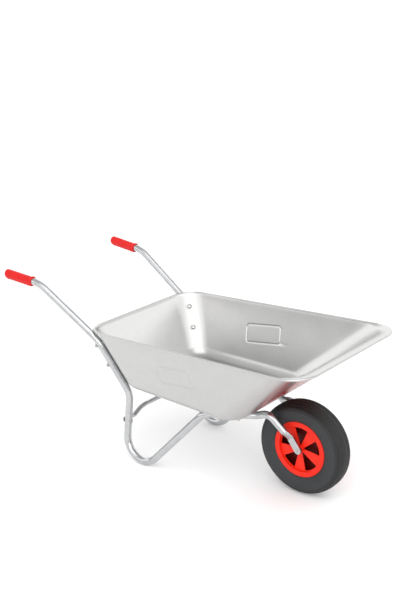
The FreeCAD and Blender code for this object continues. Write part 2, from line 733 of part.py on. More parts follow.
def make_rim_half(name, blind):
    """Half of the rim: bead seat, flange, face ring, spokes, hub and bosses for the screws.

    The half whose screw holes are blind also has the closed web between the halves.
    """
    body = new_body(name)
    sketch = new_sketch(body, f"{name}_profile", "XY_Plane")
    bore = "axle_diameter / 2 + running_clearance + bush_wall"
    face = "rim_half_width - spoke_recess"
    seat_inside = "bead_diameter / 2 - rim_wall"
    draw_outline(sketch, (seat_inside, "0"), [
        (("bead_diameter / 2", "0"),),
        (("bead_diameter / 2", "rim_half_width - rim_wall"),),
        (("rim_diameter / 2", "rim_half_width - rim_wall"),),
        (("rim_diameter / 2", "rim_half_width"),),
        (("rim_ring_inner_diameter / 2", "rim_half_width"),),
        (("rim_ring_inner_diameter / 2", face),),
        (("hub_diameter / 2", face),),
        (("hub_diameter / 2", "hub_half_length"),),
        ((bore, "hub_half_length"),),
        ((bore, "0"),),
        (("hub_diameter / 2", "0"),),
        (("hub_diameter / 2", f"{face} - rim_wall"),),
        ((seat_inside, f"{face} - rim_wall"),),
        ((seat_inside, "0"),),
    ])
    revolve(body, sketch)
    between = "180 deg / window_count"
    boss = new_sketch(body, f"{name}_boss", "XZ_Plane")
    draw_circle(boss, *on_circle("screw_circle_radius", between), "boss_diameter")
    polar(body, pad(body, boss, face, reverse=True), boss, "window_count")
    window = new_sketch(body, f"{name}_window", "XZ_Plane")
    edge = "window_outer_radius * cos(asin(window_half_width / window_outer_radius))"
    draw_outline(window, ("-2", "window_tip_radius"), [
        (("2", "window_tip_radius"),),
        (("window_half_width", edge),),
        (("0", "window_outer_radius"), ("-window_half_width", edge)),
        (("-2", "window_tip_radius"),),
    ])
    polar(body, pocket(body, window), window, "window_count")
    if blind:
        web = new_sketch(body, f"{name}_web", "XZ_Plane")
        draw_circle(web, "0", "0", "bead_diameter - rim_wall")
        draw_circle(web, "0", "0", "hub_diameter - rim_wall")
        pad(body, web, "web_thickness", reverse=True)
    screw = new_sketch(body, f"{name}_screw", "XZ_Plane")
    draw_circle(screw, *on_circle("screw_circle_radius", between), "screw_diameter")
    depth = f"({face}) - 2 * rim_wall" if blind else "rim_half_width"
    polar(body, pocket(body, screw, depth), screw, "window_count")
    if not blind:
        valve = new_sketch(body, f"{name}_valve", "XY_Plane", f"{seat_inside} - 2 * rim_wall")
        draw_circle(valve, "0", "rim_half_width / 3", "valve_diameter + 0.4")
        pocket(body, valve, "4 * rim_wall", reverse=True)
    return body


def make_valve():
    """The valve stem of the inner tube, and its cap, pointing at the hub from the top of the rim."""
    root = Vector(0, 0, value("bead_diameter / 2 + 2"))
    stem = cylinder("valve_stem", "valve_diameter", "valve_length", root, UP * -1)
    cap = cylinder("valve_cap", "valve_diameter + 2", "valve_diameter * 1.3",
                   root - UP * value("valve_length"), UP * -1)
    return [stem, cap]


def make_rim_screw():
    """A screw that draws the rim halves together: its head rests on z = 0."""
    head = cylinder("rim_screw_head", "2 * screw_diameter", "screw_diameter * 0.6", Vector(), UP)
    shank = cylinder("rim_screw_shank", "screw_diameter - 0.1",
                     "2 * (rim_half_width - spoke_recess) - 3 * rim_wall", Vector(), UP * -1)
    return fuse("rim_screw", [head, shank])


def rim_screw_places():
    """Where the screws enter the spokes of the left half, midway between the windows."""
    count = int(value("window_count"))
    radius = value("screw_circle_radius")
    face = value("rim_half_width - spoke_recess")
    places = []
    for n in range(count):
        angle = math.radians(360 * (n + 0.5) / count)
        point = AXLE + Vector(radius * math.sin(angle), face, radius * math.cos(angle))
        places.append(standing(point, Y_AXIS))
    return places


def make_bush():
    """A flanged bush for one end of the hub."""
    body = new_body("hub_bush")
    sketch = new_sketch(body, "bush_profile", "XY_Plane")
    inner = "axle_diameter / 2 + running_clearance"
    outer = f"{inner} + bush_wall"
    draw_outline(sketch, (inner, "hub_half_length - bush_length"), [
        ((outer, "hub_half_length - bush_length"),),
        ((outer, "hub_half_length"),),
        ((f"{outer} + 4", "hub_half_length"),),
        ((f"{outer} + 4", "hub_half_length + bush_flange"),),
        ((inner, "hub_half_length + bush_flange"),),
        ((inner, "hub_half_length - bush_length"),),
    ])
    revolve(body, sketch)
    return body


def make_axle():
    """The spindle between the fork ends, its end screws and the washers beside the hub."""
    half = "hub_half_length + bush_flange + side_play + axle_washer_thickness"
    start = Vector(0, -FLAT_INNER, 0)
    rod = cylinder("spindle_rod", "axle_diameter", f"2 * ({half})", start, Y_AXIS)
    thread = cylinder("spindle_thread", "axle_screw_diameter", f"2 * ({half})", start, Y_AXIS)
    spindle = cut("axle_spindle", rod, thread)
    disc = cylinder("axle_washer_disc", "axle_diameter + 10", "axle_washer_thickness", start, Y_AXIS)
    hole = cylinder("axle_washer_hole", "axle_diameter + 0.2", "axle_washer_thickness", start, Y_AXIS)
    washer = cut("axle_washer", disc, hole)
    head = doc.addObject("Part::Cone", "axle_screw_head")
    bind(head, Radius1="axle_screw_diameter", Radius2="axle_screw_diameter / 2",
         Height="axle_screw_diameter / 2")
    outer = Vector(0, -FLAT_OUTER, 0)
    head.Placement = Placement(outer, Rotation(UP, Y_AXIS))
    shank = cylinder("axle_screw_shank", "axle_screw_diameter", "fork_flat_thickness + 20", outer,
                     Y_AXIS)
    socket = doc.addObject("Part::Prism", "axle_screw_socket")
    bind(socket, Circumradius="axle_screw_diameter * 0.36", Height="axle_screw_diameter * 0.35")
    socket.Placement = Placement(outer, Rotation(UP, Y_AXIS))
    screw = cut("axle_screw", fuse("axle_screw_blank", [head, shank]), socket)
    return spindle, washer, screw


# ---------------------------------------------------------------- fasteners
def make_bolt(name, grip):
    """A round-headed bolt: its head rests on z = 0 and its shank goes down."""
    shank = cylinder(f"{name}_shank", "bolt_diameter", f"{grip} + nut_height + 2", Vector(), UP * -1)
    dome = doc.addObject("Part::Sphere", f"{name}_dome")
    radius = "(bolt_head_diameter ^ 2 / 4 + bolt_head_height ^ 2) / (2 * bolt_head_height)"
    bind(dome, Radius=radius)
    dome.Placement = Placement(Vector(0, 0, value(f"bolt_head_height - {radius}")), Rotation())
    slab = cylinder(f"{name}_slab", "bolt_head_diameter", "bolt_head_height", Vector(), UP)
    head = doc.addObject("Part::Common", f"{name}_head")
    head.Base = dome
    head.Tool = slab
    return fuse(name, [shank, head])


def make_nut():
    """A hexagon nut that hangs below z = 0."""
    prism = doc.addObject("Part::Prism", "nut_blank")
    bind(prism, Circumradius="nut_width / 2 / cos(30 deg)", Height="nut_height")
    prism.Placement = Placement(Vector(0, 0, -value("nut_height")), Rotation())
    return cut("nut", prism, cylinder("nut_thread", "bolt_diameter", "nut_height", Vector(), UP * -1))


def make_washer():
    """A plain washer that stands on z = 0."""
    disc = cylinder("washer_disc", "washer_diameter", "washer_thickness", Vector(), UP)
    hole = cylinder("washer_hole", HOLE, "washer_thickness", Vector(), UP)
    return cut("washer", disc, hole)


def standing(point, up, lift=0.0):
    """The placement of a piece that stands on a point, lifted along its own upward way."""
    up = Vector(up).normalize()
    return Placement(point + up * lift, Rotation(UP, up))


def both_sides(points, way, lift=0.0):
    """Placements at points of the right-hand side and at their mirror images."""
    return ([standing(p, way, lift) for p in points]
            + [standing(across(p), across(way), lift) for p in points])


def make_fasteners():
    """The bolts, nuts and washers, each kind a group of separate solids."""
    level_part = math.hypot(WALL_OUT.x, WALL_OUT.y)
    sheet_at_wall = value("sheet") * (level_part + abs(WALL_OUT.z))
    hollow = value("floor_corner_radius - sheet")
    sag = hollow - math.sqrt(hollow ** 2 - value("washer_diameter / 2") ** 2)
    floor_sheet = value("sheet")
    washer_height = value("washer_thickness")
    gap = value("seat_gap")
    tube = value("tube_diameter") + 2 * gap
    strap = value("strap_thickness") + 2 * gap
    long_bolt = make_bolt("long_bolt", "2 * sheet + washer_thickness + tube_diameter + 3 * seat_gap")
    strap_bolt = make_bolt("strap_bolt", "sheet + washer_thickness + strap_thickness + 3 * seat_gap")
    brace_bolt = make_bolt("leg_bolt", "tube_diameter + brace_flat_thickness + 3 * seat_gap")
    nut = make_nut()
    washer = make_washer()
    doc.recompute()
    inward = WALL_OUT * -1
    brace_head = LEG_HOLE - BRACE_BACK * (TUBE_RADIUS + gap)
    brace_nut = LEG_HOLE + BRACE_BACK * (SEAT + value("brace_flat_thickness") + gap)
    wall_washer_lift = sheet_at_wall + sag + gap
    wall_washers = both_sides(WALL_SEATS, inward, wall_washer_lift)
    floor_washers = both_sides(FLOOR_SEATS, UP, floor_sheet + gap)
    strap_washers = both_sides([STRAP_SEAT], UP, floor_sheet + gap)
    return [
        group("wall_bolts", long_bolt,
              both_sides(WALL_SEATS, inward, wall_washer_lift + washer_height + gap)),
        group("floor_bolts", long_bolt,
              both_sides(FLOOR_SEATS, UP, floor_sheet + washer_height + 2 * gap)),
        group("strap_bolts", strap_bolt,
              both_sides([STRAP_SEAT], UP, floor_sheet + washer_height + 2 * gap)),
        group("brace_bolts", brace_bolt, both_sides([brace_head], BRACE_BACK * -1)),
        group("wall_washers", washer, wall_washers),
        group("floor_washers", washer, floor_washers + strap_washers),
        group("wall_nuts", nut, both_sides(WALL_SEATS, inward, -tube - gap)),
        group("floor_nuts", nut, both_sides(FLOOR_SEATS, UP, -tube - gap)
              + both_sides([STRAP_SEAT], UP, -strap)),
        group("brace_nuts", nut, both_sides([brace_nut], BRACE_BACK * -1)),
    ]


# ---------------------------------------------------------------- brace, strap, grips, label
def make_leg_brace():
    """An arched tube between the legs with its two ends pressed flat and bolted to them."""
    middle = LEG_HOLE + BRACE_BACK * (SEAT + value("brace_flat_thickness / 2"))
    end = Vector(middle)
    flat_end = end + Vector(0, value("brace_flat_length"), 0)
    rise = LEG_WAY * value("brace_rise")
    slope_foot = flat_end + Vector(0, 16, 0)
    shoulder = Vector(middle.x, -value("brace_shoulder_half_spacing"), middle.z) + rise
    corners = [slope_foot, shoulder, across(shoulder), across(slope_foot)]
    path = path_feature("brace_path", corners, [value("brace_bend_radius")] * 2)
    outside = sweep("brace_outside", path, "brace_diameter")
    inside = sweep("brace_bore", path, "brace_diameter - 2 * brace_wall")
    pieces = [cut("brace_pipe", outside, inside)]
    heading = (shoulder - slope_foot).normalize()
    for side, point, way in (("right", lambda p: p, heading), ("left", across, across(heading))):
        round_end = doc.addObject("Part::Ellipse", f"{side}_brace_round_end")
        bind(round_end, MajorRadius="brace_diameter / 2 - taper_inset",
             MinorRadius="brace_diameter / 2 - 2 * taper_inset")
        inside_pipe = point(slope_foot) + way * value("brace_wall")
        round_end.Placement = Placement(inside_pipe, brace_section(way))
        start = doc.addObject("Part::Ellipse", f"{side}_brace_flat_start")
        bind(start, MajorRadius="brace_diameter * 0.6", MinorRadius="brace_flat_thickness / 2")
        level = Vector(0, 1 if side == "right" else -1, 0)
        start.Placement = Placement(point(flat_end), brace_section(level))
        taper = doc.addObject("Part::Loft", f"{side}_brace_taper")
        taper.Sections = [start, round_end]
        taper.Solid = True
        flat = doc.addObject("Part::Box", f"{side}_brace_flat")
        bind(flat, Length="brace_diameter * 1.2", Width="brace_flat_thickness",
             Height="brace_flat_length")
        thick = level.cross(LEG_WAY)
        corner = point(end) - LEG_WAY * value("brace_diameter * 0.6")
        corner -= thick * value("brace_flat_thickness / 2")
        flat.Placement = Placement(corner, Rotation(LEG_WAY, thick, level, "ZXY"))
        tip = cylinder(f"{side}_brace_tip", "brace_diameter * 1.2", "brace_flat_thickness",
                       point(end), BRACE_BACK, "brace_flat_thickness / 2")
        pieces += [taper, flat, tip]
    drills = [cylinder(f"{side}_brace_drill", HOLE, "2 * tube_diameter", hole, BRACE_BACK,
                       "tube_diameter")
              for side, hole in (("right", LEG_HOLE), ("left", across(LEG_HOLE)))]
    return cut("leg_brace", fuse("brace_undrilled", pieces), fuse("brace_drills", drills))


def brace_section(heading):
    """The turn of a brace section whose long side stands up the leg."""
    heading = Vector(heading).normalize()
    return Rotation(LEG_WAY, heading.cross(LEG_WAY), heading, "ZXY")


def make_floor_strap():
    """The flat strap bolted across the underside of the floor, behind the struts."""
    bar = doc.addObject("Part::Box", "strap_bar")
    bind(bar, Length="strap_width", Width="2 * strap_half_length", Height="strap_thickness")
    top = value("floor_height - seat_gap")
    bar.Placement = Placement(
        Vector(-value("strap_reach + strap_width / 2"), -value("strap_half_length"),
               top - value("strap_thickness")), Rotation())
    drills = [cylinder(f"{side}_strap_drill", HOLE, "tube_diameter", seat, UP * -1)
              for side, seat in (("right", STRAP_SEAT), ("left", across(STRAP_SEAT)))]
    return cut("floor_strap", bar, fuse("strap_drills", drills))


def make_grip():
    """A handle grip: a closed sleeve with a collar and finger hollows underneath."""
    body = new_body("grip")
    sketch = new_sketch(body, "grip_profile", "XZ_Plane")
    bore = "tube_diameter / 2 + seat_gap"
    radius = "grip_diameter / 2"
    collar = "grip_flange_diameter / 2"
    draw_outline(sketch, ("0", "0"), [
        ((f"{radius} - grip_end_radius", "0"),),
        ((f"{radius} - grip_end_radius * (1 - sqrt(1 / 2))", "grip_end_radius * (1 - sqrt(1 / 2))"),
         (radius, "grip_end_radius")),
        ((radius, "grip_length - grip_flange_width"),),
        ((collar, "grip_length - grip_flange_width"),),
        ((collar, "grip_length"),),
        ((bore, "grip_length"),),
        ((bore, "grip_end_wall"),),
        (("0", "grip_end_wall"),),
        (("0", "0"),),
    ])
    revolve(body, sketch)
    hollows = new_sketch(body, "grip_hollows", "XZ_Plane")
    for finger in range(4):
        draw_circle(hollows, f"-({radius} + grip_ridge_radius - grip_ridge_depth)",
                    f"grip_ridge_pitch * ({finger} + 1.2)", "2 * grip_ridge_radius")
    pocket(body, hollows)
    return body


def grip_placement(end, way):
    """A grip lies along the handle with its finger hollows underneath."""
    down = UP * -1
    under = (down - way * down.dot(way)).normalize()
    return Placement(end, Rotation(under * -1, way.cross(under * -1), way, "ZXY"))


def make_front_label():
    """A blank label on the outside of the front wall."""
    foot, way = tray_line(
        "floor_front_reach", "lip_front - brim_front_reach",
        "brim_rear_height - lip_drop"
        " + (brim_rear_reach + brim_front_reach - lip_front) * tan(brim_tilt * 1 deg)")
    out = Vector(way.z, 0, -way.x)
    plate = doc.addObject("Part::Box", "front_label")
    bind(plate, Length="label_length", Width="label_width", Height="label_thickness")
    start = foot + way * (value("floor_edge_radius") + 20) + out * value("seat_gap")
    start.y = value("label_width / 2")
    plate.Placement = Placement(start, Rotation(way, Y_AXIS * -1, out, "XZY"))
    return plate


# ---------------------------------------------------------------- assembly
def make_nodes():
    """Every piece in its place, drawn round the axle."""
    other_way = Rotation(UP, 180)
    tray = make_tray()
    right_tube, left_tube = make_frame_tubes()
    brace = make_leg_brace()
    strap = make_floor_strap()
    label = make_front_label()
    tyre = make_tyre()
    inner_tube = make_inner_tube()
    left_half = make_rim_half("rim_left_half", blind=False)
    right_half = make_rim_half("rim_right_half", blind=True)
    valve = make_valve()
    bush = make_bush()
    rim_screw = make_rim_screw()
    spindle, washer, screw = make_axle()
    grip = make_grip()
    doc.recompute()

    at_axle = Placement(AXLE, Rotation())
    at_axle_other_way = Placement(AXLE, other_way)
    for piece in (tyre, inner_tube, left_half, spindle):
        piece.Placement = at_axle
    right_half.Placement = at_axle_other_way
    for piece in valve:
        piece.Placement = Placement(AXLE + Vector(0, value("rim_half_width / 3"), 0),
                                    Rotation()) * piece.Placement
    grips = [group("right_grip", grip, [grip_placement(GRIP_END, GRIP_WAY)]),
             group("left_grip", grip, [grip_placement(across(GRIP_END), across(GRIP_WAY))])]
    pairs = [group("hub_bushes", bush, [at_axle, at_axle_other_way]),
             group("rim_screws", rim_screw, rim_screw_places()),
             group("axle_washers", washer, [at_axle, at_axle_other_way]),
             group("axle_screws", screw, [at_axle, at_axle_other_way])]
    wheel = [tyre, inner_tube, left_half, right_half, spindle]
    return ([tray, right_tube, left_tube, brace, strap, label] + wheel + valve + grips + pairs
            + make_fasteners())


def check(nodes):
    """Stop if any object failed, or if a piece has no valid solid."""
    for thing in doc.Objects:
        if "Invalid" in thing.State or "Error" in thing.State:
            raise RuntimeError(f"{thing.Name}: {thing.State}")
    for node in nodes:
        shape = node.Shape
        if shape.isNull() or not shape.isValid() or not shape.Solids:
            raise RuntimeError(f"{node.Label} has no valid solid")


def main():
    """Build the document and write one file for each node."""
    nodes = make_nodes()
    doc.recompute()
    check(nodes)
    os.makedirs("parts", exist_ok=True)
    for node in nodes:
        shape = node.Shape.copy()
        shape.translate(MIDDLE)
        shape.exportStep(f"parts/{node.Label}.step")
        print(f"{node.Label}: {len(shape.Solids)} solid(s), {shape.Volume / 1000:.1f} cm3")


main()
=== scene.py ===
"""A garden wheelbarrow: pressed galvanised tray, bent tube frame, air tyre on a red spoked rim."""
import json
import math

import bmesh
import bpy
from mathutils import Matrix, Vector


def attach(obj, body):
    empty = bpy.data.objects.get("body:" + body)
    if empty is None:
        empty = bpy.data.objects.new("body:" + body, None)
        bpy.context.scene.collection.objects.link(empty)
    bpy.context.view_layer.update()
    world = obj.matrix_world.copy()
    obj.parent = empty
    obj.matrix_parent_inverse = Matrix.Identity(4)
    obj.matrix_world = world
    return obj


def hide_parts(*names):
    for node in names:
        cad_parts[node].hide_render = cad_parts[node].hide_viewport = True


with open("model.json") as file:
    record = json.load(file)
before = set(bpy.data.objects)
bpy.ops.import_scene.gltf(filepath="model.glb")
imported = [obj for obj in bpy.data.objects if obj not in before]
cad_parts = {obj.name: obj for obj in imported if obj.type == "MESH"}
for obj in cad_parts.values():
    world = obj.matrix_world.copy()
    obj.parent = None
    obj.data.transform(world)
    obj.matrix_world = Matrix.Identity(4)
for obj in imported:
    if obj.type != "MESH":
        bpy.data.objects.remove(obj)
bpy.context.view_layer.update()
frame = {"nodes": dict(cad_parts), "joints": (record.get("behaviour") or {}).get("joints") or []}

MM = 0.001
TAU = 2 * math.pi
UP = Vector((0, 0, 1))
AXLE = Vector(frame["joints"][0]["pos_m"])


# ---------------------------------------------------------------- materials
def linear(hexcode):
    """A colour's sRGB hex value as the linear RGBA that a shader works in."""
    channels = [int(hexcode[n:n + 2], 16) / 255 for n in (1, 3, 5)]
    curved = [c / 12.92 if c <= 0.04045 else ((c + 0.055) / 1.055) ** 2.4 for c in channels]
    return (*curved, 1.0)


def add_node(tree, kind, settings=None, **inputs):
    """A shader node with its settings, its socket values and the links into it."""
    node = tree.nodes.new(kind)
    for name, setting in (settings or {}).items():
        setattr(node, name, setting)
    for name, given in inputs.items():
        words = name.replace("_", " ")
        socket = node.inputs[int(name[1:])] if name[1:].isdigit() else node.inputs[words]
        if isinstance(given, bpy.types.NodeSocket):
            tree.links.new(given, socket)
        else:
            socket.default_value = given
    return node


def new_material(name):
    """An empty material, its node tree and its surface shader."""
    material = bpy.data.materials.new(name)
    material.use_nodes = True
    tree = material.node_tree
    return material, tree, tree.nodes["Principled BSDF"]


def ramp(tree, factor, *stops):
    """A colour ramp through (place, hex colour) stops."""
    node = add_node(tree, "ShaderNodeValToRGB", Fac=factor)
    elements = node.color_ramp.elements
    while len(elements) < len(stops):
        elements.new(0.5)
    for element, (place, colour) in zip(elements, stops):
        element.position = place
        element.color = linear(colour)
    return node.outputs["Color"]


def spread(tree, factor, low, high):
    """A factor of 0 to 1 spread over a range."""
    node = add_node(tree, "ShaderNodeMapRange", Value=factor, To_Min=low, To_Max=high)
    return node.outputs["Result"]


def galvanised_sheet():
    """Cold-pressed galvanised steel: a soft silver sheen with faint zinc mottling and press marks."""
    material, tree, shader = new_material("galvanised_sheet")
    place = add_node(tree, "ShaderNodeTexCoord").outputs["Object"]
    spangle = add_node(tree, "ShaderNodeTexVoronoi", {"feature": "SMOOTH_F1"},
                       Vector=place, Scale=1 / (9 * MM), Smoothness=0.6, Randomness=1.0)
    cloud = add_node(tree, "ShaderNodeTexNoise", Vector=place, Scale=1 / (70 * MM), Detail=3.0)
    grain = add_node(tree, "ShaderNodeTexNoise", Vector=place, Scale=1 / (1.6 * MM), Detail=2.0)
    tone = add_node(tree, "ShaderNodeMix", {"data_type": "FLOAT"}, i0=0.35,
                    A=cloud.outputs["Fac"], B=spangle.outputs["Distance"])
    tree.links.new(ramp(tree, tone.outputs[0], (0.25, "#bdbdbc"), (0.75, "#c4c4c3")),
                   shader.inputs["Base Color"])
    tree.links.new(spread(tree, cloud.outputs["Fac"], 0.31, 0.38), shader.inputs["Roughness"])
    bump = add_node(tree, "ShaderNodeBump", Strength=0.05, Distance=0.15 * MM,
                    Height=grain.outputs["Fac"])
    tree.links.new(bump.outputs["Normal"], shader.inputs["Normal"])
    shader.inputs["Metallic"].default_value = 1.0
    return material


def galvanised_tube():
    """Drawn galvanised tube: smoother and a little darker than the sheet, with drawing lines."""
    material, tree, shader = new_material("galvanised_tube")
    place = add_node(tree, "ShaderNodeTexCoord").outputs["Object"]
    cloud = add_node(tree, "ShaderNodeTexNoise", Vector=place, Scale=1 / (25 * MM), Detail=4.0)
    grain = add_node(tree, "ShaderNodeTexNoise", Vector=place, Scale=1 / (1.2 * MM), Detail=2.0)
    tree.links.new(ramp(tree, cloud.outputs["Fac"], (0.3, "#b4b5b7"), (0.7, "#c2c3c4")),
                   shader.inputs["Base Color"])
    tree.links.new(spread(tree, cloud.outputs["Fac"], 0.20, 0.30), shader.inputs["Roughness"])
    bump = add_node(tree, "ShaderNodeBump", Strength=0.01, Distance=0.1 * MM,
                    Height=grain.outputs["Fac"])
    tree.links.new(bump.outputs["Normal"], shader.inputs["Normal"])
    shader.inputs["Metallic"].default_value = 1.0
    return material


def zinc_fastener():
    """Zinc-plated bolts and nuts: bright, slightly yellowed, with tiny pits."""
    material, tree, shader = new_material("zinc_fastener")
    place = add_node(tree, "ShaderNodeTexCoord").outputs["Object"]
    pits = add_node(tree, "ShaderNodeTexNoise", Vector=place, Scale=1 / (2 * MM), Detail=3.0)
    tree.links.new(ramp(tree, pits.outputs["Fac"], (0.3, "#a9aaa8"), (0.7, "#c6c6c2")),
                   shader.inputs["Base Color"])
    tree.links.new(spread(tree, pits.outputs["Fac"], 0.26, 0.38), shader.inputs["Roughness"])
    shader.inputs["Metallic"].default_value = 1.0
    return material


def tyre_rubber():
    """Moulded carbon-black rubber: dark grey, dull, a little greyer where the mould was polished."""
    material, tree, shader = new_material("tyre_rubber")
    place = add_node(tree, "ShaderNodeTexCoord").outputs["Object"]
    bloom = add_node(tree, "ShaderNodeTexNoise", Vector=place, Scale=1 / (30 * MM), Detail=4.0)
    grain = add_node(tree, "ShaderNodeTexNoise", Vector=place, Scale=1 / (1.5 * MM), Detail=3.0)
    spoke = add_node(tree, "ShaderNodeVectorMath", {"operation": "SUBTRACT"}, i0=place, i1=AXLE)
    flat = add_node(tree, "ShaderNodeVectorMath", {"operation": "MULTIPLY"},
                    i0=spoke.outputs["Vector"], i1=(1, 0, 1))
    radius = add_node(tree, "ShaderNodeVectorMath", {"operation": "LENGTH"}, i0=flat.outputs["Vector"])
    tread = add_node(tree, "ShaderNodeMapRange", Value=radius.outputs["Value"],
                     From_Min=150 * MM, From_Max=158 * MM)
    side = ramp(tree, bloom.outputs["Fac"], (0.3, "#25282a"), (0.7, "#2b2e30"))
    crown = ramp(tree, bloom.outputs["Fac"], (0.3, "#131414"), (0.7, "#191a1a"))
    tone = add_node(tree, "ShaderNodeMix", {"data_type": "RGBA"}, i0=tread.outputs["Result"],
                    i6=side, i7=crown)
    tree.links.new(tone.outputs[2], shader.inputs["Base Color"])
    tree.links.new(spread(tree, bloom.outputs["Fac"], 0.55, 0.70), shader.inputs["Roughness"])
    bump = add_node(tree, "ShaderNodeBump", Strength=0.25, Distance=0.2 * MM,
                    Height=grain.outputs["Fac"])
    tree.links.new(bump.outputs["Normal"], shader.inputs["Normal"])
    shader.inputs["IOR"].default_value = 1.5
    return material


def rim_plastic():
    """Injection-moulded polypropylene in bright red: half gloss, with a faint orange peel, and painted
    shade that turns the red dark deep in the wheel's windows.
    """
    material, tree, shader = new_material("rim_plastic")
    place = add_node(tree, "ShaderNodeTexCoord").outputs["Object"]
    flow = add_node(tree, "ShaderNodeTexNoise", Vector=place, Scale=1 / (40 * MM), Detail=2.0)
    peel = add_node(tree, "ShaderNodeTexNoise", Vector=place, Scale=1 / (2.5 * MM), Detail=1.0)
    # Painted shade: near the middle of the rim's width the red is mixed to a dark red, which stands in
    # for the shadow down in the window recesses.
    across = add_node(tree, "ShaderNodeSeparateXYZ", Vector=place).outputs["Y"]
    depth = add_node(tree, "ShaderNodeMath", {"operation": "ABSOLUTE"}, i0=across)
    # outer fades from the painted shade up to 19 mm from the middle to the plain red face from 27 mm
    # out.
    outer = add_node(tree, "ShaderNodeMapRange", Value=depth.outputs["Value"],
                     From_Min=19 * MM, From_Max=27 * MM)
    face = ramp(tree, flow.outputs["Fac"], (0.3, "#e3210f"), (0.7, "#ea2c16"))
    # inside is the dark red of the painted shade in the recesses, not the plastic's own colour.
    inside = ramp(tree, flow.outputs["Fac"], (0.3, "#4a0703"), (0.7, "#560a05"))
    tone = add_node(tree, "ShaderNodeMix", {"data_type": "RGBA"}, i0=outer.outputs["Result"],
                    i6=inside, i7=face)
    tree.links.new(tone.outputs[2], shader.inputs["Base Color"])
    tree.links.new(spread(tree, flow.outputs["Fac"], 0.36, 0.46), shader.inputs["Roughness"])
    bump = add_node(tree, "ShaderNodeBump", Strength=0.06, Distance=0.1 * MM,
                    Height=peel.outputs["Fac"])
    tree.links.new(bump.outputs["Normal"], shader.inputs["Normal"])
    shader.inputs["IOR"].default_value = 1.49
    shader.inputs["Specular IOR Level"].default_value = 0.25
    return material


def grip_plastic():
    """Soft moulded PVC: red with a satin skin and a fine leathery texture."""
    material, tree, shader = new_material("grip_plastic")
    place = add_node(tree, "ShaderNodeTexCoord").outputs["Object"]
    flow = add_node(tree, "ShaderNodeTexNoise", Vector=place, Scale=1 / (30 * MM), Detail=2.0)
    skin = add_node(tree, "ShaderNodeTexVoronoi", Vector=place, Scale=1 / (1.8 * MM))
    tree.links.new(ramp(tree, flow.outputs["Fac"], (0.3, "#c40d0c"), (0.7, "#cf1410")),
                   shader.inputs["Base Color"])
    tree.links.new(spread(tree, flow.outputs["Fac"], 0.42, 0.52), shader.inputs["Roughness"])
    bump = add_node(tree, "ShaderNodeBump", Strength=0.15, Distance=0.15 * MM,
                    Height=skin.outputs["Distance"])
    tree.links.new(bump.outputs["Normal"], shader.inputs["Normal"])
    shader.inputs["IOR"].default_value = 1.53
    shader.inputs["Specular IOR Level"].default_value = 0.25
    return material


def label_film():
    """A blank printed vinyl film: deep red, smooth and glossy, slightly uneven over the metal."""
    material, tree, shader = new_material("label_film")
    place = add_node(tree, "ShaderNodeTexCoord").outputs["Object"]
    sag = add_node(tree, "ShaderNodeTexNoise", Vector=place, Scale=1 / (35 * MM), Detail=2.0)
    tree.links.new(ramp(tree, sag.outputs["Fac"], (0.3, "#8e1014"), (0.7, "#9c1418")),
                   shader.inputs["Base Color"])
    tree.links.new(spread(tree, sag.outputs["Fac"], 0.22, 0.32), shader.inputs["Roughness"])
    return material


def dull_black(name, light, dark, grain_mm, rough):
    """A black moulded material with a fine grain: its two tones, its grain and how dull it is."""
    material, tree, shader = new_material(name)
    place = add_node(tree, "ShaderNodeTexCoord").outputs["Object"]
    grain = add_node(tree, "ShaderNodeTexNoise", Vector=place, Scale=1 / (grain_mm * MM), Detail=3.0)
    tree.links.new(ramp(tree, grain.outputs["Fac"], (0.3, dark), (0.7, light)),
                   shader.inputs["Base Color"])
    tree.links.new(spread(tree, grain.outputs["Fac"], rough - 0.06, rough + 0.06),
                   shader.inputs["Roughness"])
    return material


def turned_steel():
    """Turned bright steel bar: fine rings round the bar."""
    material, tree, shader = new_material("axle_steel")
    place = add_node(tree, "ShaderNodeTexCoord").outputs["Object"]
    rings = add_node(tree, "ShaderNodeTexWave", {"bands_direction": "Y"}, Vector=place,
                     Scale=1 / (6 * MM), Distortion=0.4)
    tree.links.new(ramp(tree, rings.outputs["Fac"], (0.0, "#8f9193"), (1.0, "#b2b4b6")),
                   shader.inputs["Base Color"])
    tree.links.new(spread(tree, rings.outputs["Fac"], 0.25, 0.35), shader.inputs["Roughness"])
    shader.inputs["Metallic"].default_value = 1.0
    return material


SHEET = galvanised_sheet()
TUBE = galvanised_tube()
ZINC = zinc_fastener()
TYRE = tyre_rubber()
RIM = rim_plastic()
GRIP = grip_plastic()
LABEL = label_film()
BUTYL = dull_black("butyl_rubber", "#2b2b2c", "#1b1b1c", 3, 0.6)
BUSH = dull_black("bush_plastic", "#303133", "#232426", 2, 0.45)
CAP = dull_black("black_plastic", "#222324", "#161718", 2, 0.4)
STEEL = turned_steel()

NODE_MATERIALS = {
    SHEET: ["tray"],
    TUBE: ["right_frame_tube", "left_frame_tube", "leg_brace", "floor_strap"],
    ZINC: ["rim_screws", "axle_washers", "axle_screws", "wall_bolts", "floor_bolts", "strap_bolts",
           "brace_bolts", "wall_washers", "floor_washers", "wall_nuts", "floor_nuts", "brace_nuts"],
    TYRE: ["tyre"],
    RIM: ["rim_left_half", "rim_right_half"],
    GRIP: ["right_grip", "left_grip"],
    LABEL: ["front_label"],
    BUTYL: ["inner_tube", "valve_stem"],
    BUSH: ["hub_bushes"],
    CAP: ["valve_cap"],
    STEEL: ["axle_spindle"],
}
for material, names in NODE_MATERIALS.items():
    for name in names:
        mesh = frame["nodes"][name].data
        mesh.materials.clear()
        mesh.materials.append(material)


# ---------------------------------------------------------------- helpers
def at(x, y, z):
    """A place from its millimetres ahead of the axle, to the left and above the floor."""
    return Vector((AXLE.x + x * MM, y * MM, z * MM))


